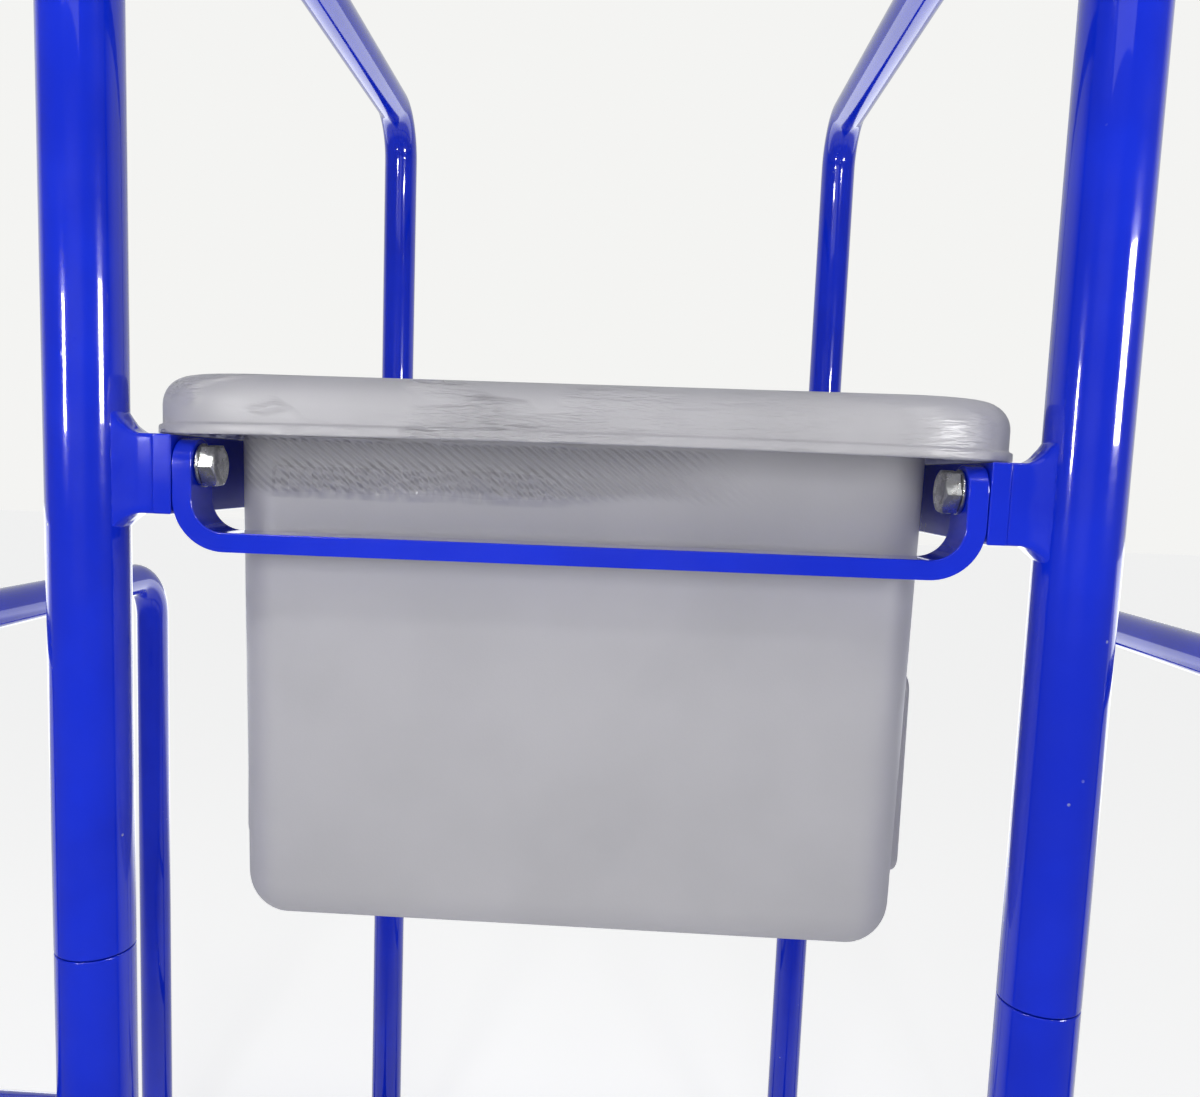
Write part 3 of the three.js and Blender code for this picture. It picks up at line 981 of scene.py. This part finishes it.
def addBin():
    low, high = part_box("bin")
    height = high[2] - low[2]
    grown = binSet["rimOverhang"] + binSet["lip"]
    corner = binSet["cornerRadius"]
    straightX = (high[0] - low[0]) / 2 - grown - corner
    straightY = (high[1] - low[1]) / 2 - grown - corner
    bm = bmesh.new()
    edges = roundedLoop(bm, straightX, straightY, corner)
    profile = binProfile(height)
    moveOut(bm.verts, straightX, straightY, corner, *profile[0])
    for outset, level in profile[1:]:
        out = bmesh.ops.extrude_edge_only(bm, edges=edges)
        edges = edgesOf(out["geom"])
        moveOut(vertsOf(out["geom"]), straightX, straightY, corner, outset, level)
    floor = bmesh.ops.contextual_create(bm, geom=edges)
    bmesh.ops.inset_region(bm, faces=floor["faces"], thickness=0.010, depth=0)
    bmesh.ops.inset_region(bm, faces=floor["faces"], thickness=0.002, depth=-0.0012)
    rimFoot = height - binSet["rimHeight"]
    for vert in bm.verts:
        # the rim's skirt rises a little in the middle of each side, as a moulding's does
        if rimFoot - 0.002 < vert.co.z < rimFoot + 0.008:
            along = vert.co.x / (straightX + corner)
            vert.co.z += binSet["bow"] * max(0, 1 - along * along)
        lean = noise.noise(vert.co * 9) * binSet["sway"]
        vert.co.y += lean * min(1, max(0, 1 - abs(vert.co.z - height / 2) / (height / 2)))
    centre = middle("bin")
    bmesh.ops.translate(bm, verts=bm.verts, vec=(centre.x, centre.y, low[2]))
    addPiece("bin_tub", bm, "bin", "grey_plastic", ["bin"])


# A rib with round ends on each side wall, near the front
ribSet = {
    "width": 0.024,
    "height": 0.115,
    "rise": 0.027,
    "depth": 0.008,
    "setback": 0.020,
    "root": 0.0047,
    "draft": 0.0012,
    "round": 0.003,
}


def addRib(side, sign):
    low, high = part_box("bin")
    grown = binSet["rimOverhang"] + binSet["lip"]
    wallX = high[0] - grown
    half = ribSet["width"] / 2
    draft = ribSet["draft"]
    rounding = ribSet["round"]
    shoulder = ribSet["root"] + ribSet["depth"] - rounding
    bm = bmesh.new()
    bmesh.ops.create_grid(bm, x_segments=1, y_segments=1, size=1)
    bmesh.ops.scale(bm, verts=bm.verts, vec=(half, ribSet["height"] / 2, 1))
    bmesh.ops.bevel(
        bm, geom=bm.verts[:], offset=half * 0.999, segments=12,
        profile=0.5, affect="VERTICES", material=-1,
    )
    for vert in bm.verts:
        vert.co.z = 0
    edges = [edge for edge in bm.edges if edge.is_boundary]
    steps = [(draft, shoulder)]
    for i in range(1, 6):
        angle = i / 5 * math.pi / 2
        steps.append((draft + rounding * (1 - math.cos(angle)), shoulder + rounding * math.sin(angle)))
    straight = ribSet["height"] / 2 - half
    for inward, level in steps:
        out = bmesh.ops.extrude_edge_only(bm, edges=edges)
        edges = edgesOf(out["geom"])
        moveOut(vertsOf(out["geom"]), 0, straight, half, -inward, level)
    bmesh.ops.contextual_create(bm, geom=edges)
    turn = Matrix((sign * back, up, sign * right)).transposed()
    bmesh.ops.rotate(bm, verts=bm.verts, matrix=turn)
    y = low[1] + grown + binSet["cornerRadius"] + ribSet["setback"] + half
    z = low[2] + ribSet["rise"] + ribSet["height"] / 2
    bmesh.ops.translate(bm, verts=bm.verts, vec=(sign * (wallX - ribSet["root"]), y, z))
    addPiece("bin_rib_" + side, bm, "bin", "grey_plastic")


addBin()
for side, sign in sides.items():
    addRib(side, sign)
print("bin made")


# Spigots stay as the frame gives them, in the same paint
for piece in bpy.data.objects:
    if piece.name.startswith("spigot_"):
        for place in piece.material_slots:
            place.material = finishes["blue_paint"]


# Floor, surroundings and lights. Lamps are placed from the middle of the pivots' height
# between the uprights. The fill is soft: it leaves no reflection.
studio = {
    "floorSize": 14,
    "floorColour": (0.80, 0.80, 0.79, 1),
    "floorGlow": 0.61,
    "darkFloor": (0.16, 0.16, 0.17, 1),
    "brightFloor": (1.9, 1.95, 2.0, 1),
    "seen": (0.905, 0.905, 0.890, 1),
    "behind": (0.60, 0.61, 0.62, 1),
    "ahead": (0.16, 0.16, 0.17, 1),
}
lamps = {
    "near_left": {"place": (-0.475, -0.45, 0.083), "width": 0.055, "height": 0.12, "shine": 100},
    "near_right": {"place": (0.71, -0.39, 0.142), "width": 0.19, "height": 0.19, "shine": 60},
    "high_left": {"place": (-0.45, -0.62, 0.69), "width": 0.20, "height": 0.04, "shine": 60},
    "high_right": {"place": (0.51, -0.31, 0.62), "width": 0.20, "height": 0.04, "shine": 60},
    "overhead": {"place": (-0.12, -0.95, 0.85), "width": 0.90, "height": 0.60, "shine": 0.8},
    "fill": {"place": (-0.15, -1.20, 0.15), "width": 0.80, "height": 0.60, "shine": 5.9},
}


def addFloor():
    bm = bmesh.new()
    bmesh.ops.create_grid(bm, x_segments=2, y_segments=2, size=studio["floorSize"])
    mesh = bpy.data.meshes.new("floor")
    bm.to_mesh(mesh)
    bm.free()
    floor = bpy.data.objects.new("floor", mesh)
    scene.collection.objects.link(floor)
    material, graph = newMaterial("studio_floor")
    # in glossy reflections the floor is as dim as the room ahead, and bright far behind
    x, y, z = graph.axes(graph.place())
    pale = graph.add("ShaderNodeBsdfPrincipled", {}, {
        "Base Color": studio["floorColour"],
        "Roughness": 0.9,
        "Specular IOR Level": 0.1,
        "Emission Color": (1, 1, 0.99, 1),
        "Emission Strength": studio["floorGlow"],
    })
    colour = graph.mix(graph.step(y, frontY - 0.1, frontY + 0.5), studio["darkFloor"], studio["behind"])
    colour = graph.mix(graph.step(y, 1.1, 1.8), colour, studio["brightFloor"])
    mirrored = graph.add("ShaderNodeEmission", {}, {"Color": colour})
    glossy = graph.add("ShaderNodeLightPath", {}, {}, "Is Glossy Ray")
    both = graph.add("ShaderNodeMixShader", {}, {0: glossy, 1: pale, 2: mirrored})
    graph.node("ShaderNodeOutputMaterial", {}, {0: both})
    mesh.materials.append(material)


def addWorld():
    world = bpy.data.worlds.new("studio")
    world.use_nodes = True
    scene.world = world
    graph = Graph(world.node_tree)
    direction = graph.add("ShaderNodeTexCoord", {}, {}, "Generated")
    x, y, z = graph.axes(direction)
    ahead = graph.step(y, 0.45, 0.0)
    colour = graph.mix(ahead, studio["behind"], studio["ahead"])
    lit = graph.add("ShaderNodeBackground", {}, {"Color": colour, "Strength": 1.0})
    plain = graph.add("ShaderNodeBackground", {}, {"Color": studio["seen"], "Strength": 1.0})
    seen = graph.add("ShaderNodeLightPath", {}, {}, "Is Camera Ray")
    both = graph.add("ShaderNodeMixShader", {}, {0: seen, 1: lit, 2: plain})
    graph.node("ShaderNodeOutputWorld", {}, {0: both})


def addLamps():
    middleFront = Vector((0, frontY, pivot.z))
    for name, values in lamps.items():
        data = bpy.data.lights.new(name, "AREA")
        data.shape = "RECTANGLE"
        data.size = values["width"]
        data.size_y = values["height"]
        data.energy = values["shine"] * math.pi * values["width"] * values["height"]
        lamp = bpy.data.objects.new(name, data)
        scene.collection.objects.link(lamp)
        lamp.location = middleFront + Vector(values["place"])
        lamp.rotation_euler = (middleFront - lamp.location).to_track_quat("-Z", "Y").to_euler()
        lamp.visible_camera = False
        lamp.visible_glossy = name != "fill"
        lamp.visible_diffuse = not name.startswith("near")


addFloor()
addWorld()
addLamps()
print("studio made")
